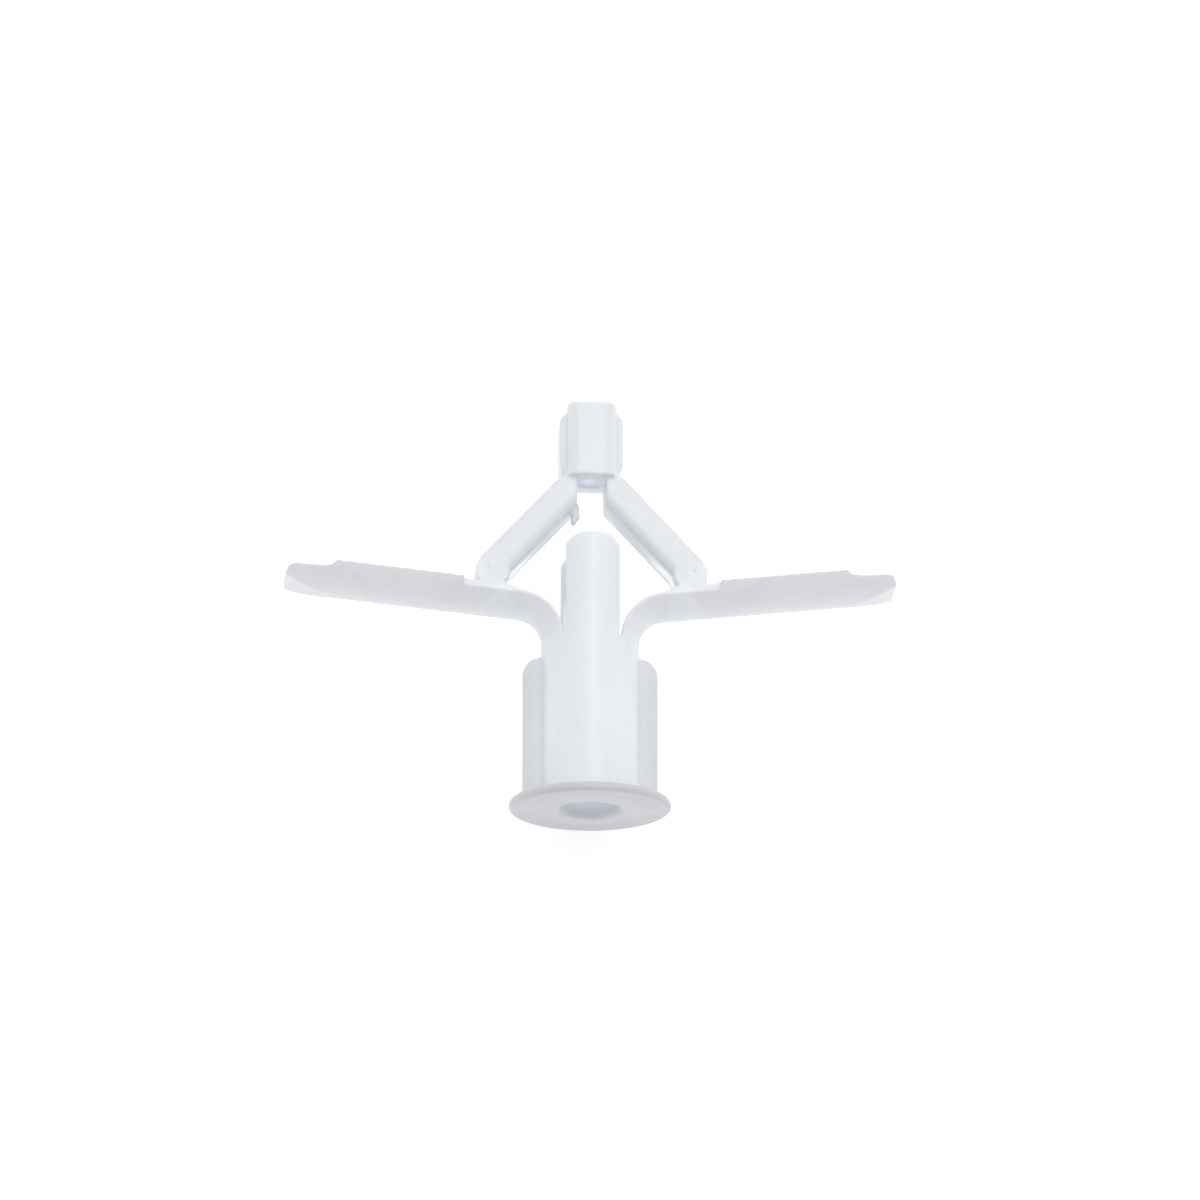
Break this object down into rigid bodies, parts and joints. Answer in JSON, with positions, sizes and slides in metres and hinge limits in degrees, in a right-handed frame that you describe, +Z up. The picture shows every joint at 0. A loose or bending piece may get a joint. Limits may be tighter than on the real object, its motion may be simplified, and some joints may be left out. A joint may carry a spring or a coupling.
{
  "type": "wall anchor",
  "caption": "One-piece plastic toggle anchor for hollow walls: a flanged, finned barrel, arms that swing open behind the wall, and struts that carry a screw nose.",
  "frame": {"origin": "centre of the flange's wall-side face, on the screw axis", "axes": "+Y along the screw axis into the wall, towards the nose; +X across the two arms; +Z up when the arms lie level"},
  "size_m": [0.0498, 0.0338, 0.0132],
  "materials": {
    "moulding": "natural white nylon, satin, faintly translucent",
    "hinge_web": "natural white nylon, satin, thin and more translucent"
  },
  "bodies": {
    "barrel": {"flange": "moulding", "barrel": "moulding", "left_fin": "moulding", "right_fin": "moulding", "upper_tongue": "moulding", "lower_tongue": "moulding", "left_root_hinge": "hinge_web", "right_root_hinge": "hinge_web"},
    "left_arm": {"left_arm": "moulding", "left_elbow_hinge": "hinge_web"},
    "left_strut": {"left_strut": "moulding"},
    "nose": {"nose": "moulding", "left_nose_hinge": "hinge_web", "right_nose_hinge": "hinge_web"},
    "right_arm": {"right_arm": "moulding", "right_elbow_hinge": "hinge_web"},
    "right_strut": {"right_strut": "moulding"}
  },
  "joints": [
    {"name": "left_arm_fold", "type": "hinge", "parent": "barrel", "child": "left_arm", "pos_m": [-0.00374, 0.01532, 0], "axis": [0, 0, -1], "range_deg": [-6, 84], "stiffness_Nm_per_rad": 0.0004, "deforming": ["left_root_hinge"]},
    {"name": "left_elbow", "type": "hinge", "parent": "left_arm", "child": "left_strut", "pos_m": [-0.00933, 0.01805, 0], "axis": [0, 0, -1], "range_deg": [-127.5, 9.57], "stiffness_Nm_per_rad": 0.0004, "deforming": ["left_elbow_hinge"]},
    {"name": "nose_hinge", "type": "hinge", "parent": "left_strut", "child": "nose", "pos_m": [-0.00171, 0.02638, 0], "axis": [0, 0, -1], "range_deg": [-3.57, 43.5], "stiffness_Nm_per_rad": 0.0004, "deforming": ["left_nose_hinge", "right_nose_hinge"]},
    {"name": "right_arm_fold", "type": "hinge", "parent": "barrel", "child": "right_arm", "pos_m": [0.00374, 0.01532, 0], "axis": [0, 0, 1], "range_deg": [-6.5, 84.5], "stiffness_Nm_per_rad": 0.0004, "deforming": ["right_root_hinge"]},
    {"name": "right_elbow", "type": "hinge", "parent": "right_arm", "child": "right_strut", "pos_m": [0.00933, 0.01805, 0], "axis": [0, 0, 1], "range_deg": [-127.5, 9.57], "stiffness_Nm_per_rad": 0.0004, "deforming": ["right_elbow_hinge"]}
  ],
  "couplings": [
    {"joint": "left_elbow", "follows": "left_arm_fold", "ratio": -1.5119},
    {"joint": "nose_hinge", "follows": "left_arm_fold", "ratio": 0.5119},
    {"joint": "right_arm_fold", "follows": "left_arm_fold", "ratio": 1},
    {"joint": "right_elbow", "follows": "left_arm_fold", "ratio": -1.5119}
  ]
}
